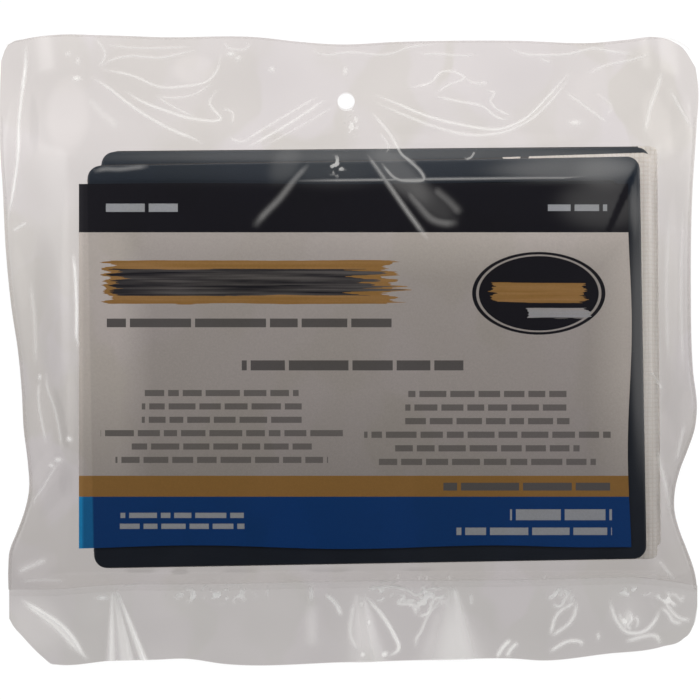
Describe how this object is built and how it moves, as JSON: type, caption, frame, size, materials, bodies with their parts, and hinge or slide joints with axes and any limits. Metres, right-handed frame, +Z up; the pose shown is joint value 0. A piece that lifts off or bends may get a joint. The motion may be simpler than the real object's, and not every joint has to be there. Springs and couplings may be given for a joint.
{
  "type": "refill pad pack for a paint edger",
  "caption": "Clear sealed film bag with a hang hole, holding paint edger refill pads with black backing plates and white pile fabric under a printed insert card.",
  "frame": {"origin": "under the middle of the bag, on the surface that the pack lies on", "axes": "+X to the right of the insert card, +Y towards the hang hole, +Z up out of the card's face"},
  "size_m": [0.162, 0.146, 0.0144],
  "materials": {
    "film": "clear, crinkled",
    "plate": "moulded, satin",
    "foam": "open-cell foam",
    "pile": "short white pile on woven cloth",
    "card": "coated paper, printed in bands"
  },
  "bodies": {
    "bag": {"bag_front_film": "film", "bag_back_film": "film", "left_side_weld": "film", "right_side_weld": "film", "bottom_heat_seal": "film"},
    "header_flap": {"header_front_film": "film", "header_back_film": "film", "header_top_fold": "film"},
    "mouth_skirt": {"skirt_front_lip": "film", "skirt_back_lip": "film"},
    "insert": {"insert_card": "card"},
    "front_pad": {"front_pad_plate": "plate", "front_pad_foam": "foam", "front_pad_fabric": "pile"},
    "rear_pad": {"rear_pad_plate": "plate", "rear_pad_foam": "foam", "rear_pad_fabric": "pile"}
  },
  "joints": [
    {"name": "header_fold", "type": "hinge", "parent": "bag", "child": "header_flap", "pos_m": [0, 0.05399, 0.0045], "axis": [1, 0, 0], "range_deg": [-10, 75]},
    {"name": "skirt_fold", "type": "hinge", "parent": "bag", "child": "mouth_skirt", "pos_m": [0, -0.05759, 0.0045], "axis": [-1, 0, 0], "range_deg": [-10, 75]},
    {"name": "card_slide", "type": "slide", "parent": "bag", "child": "insert", "axis": [0, 1, 0], "range_m": [-0.004, 0.005]},
    {"name": "front_pad_slide", "type": "slide", "parent": "bag", "child": "front_pad", "axis": [-1, 0, 0], "range_m": [0, 0.005]},
    {"name": "rear_pad_slide", "type": "slide", "parent": "bag", "child": "rear_pad", "axis": [-1, 0, 0], "range_m": [0, 0.005]}
  ]
}
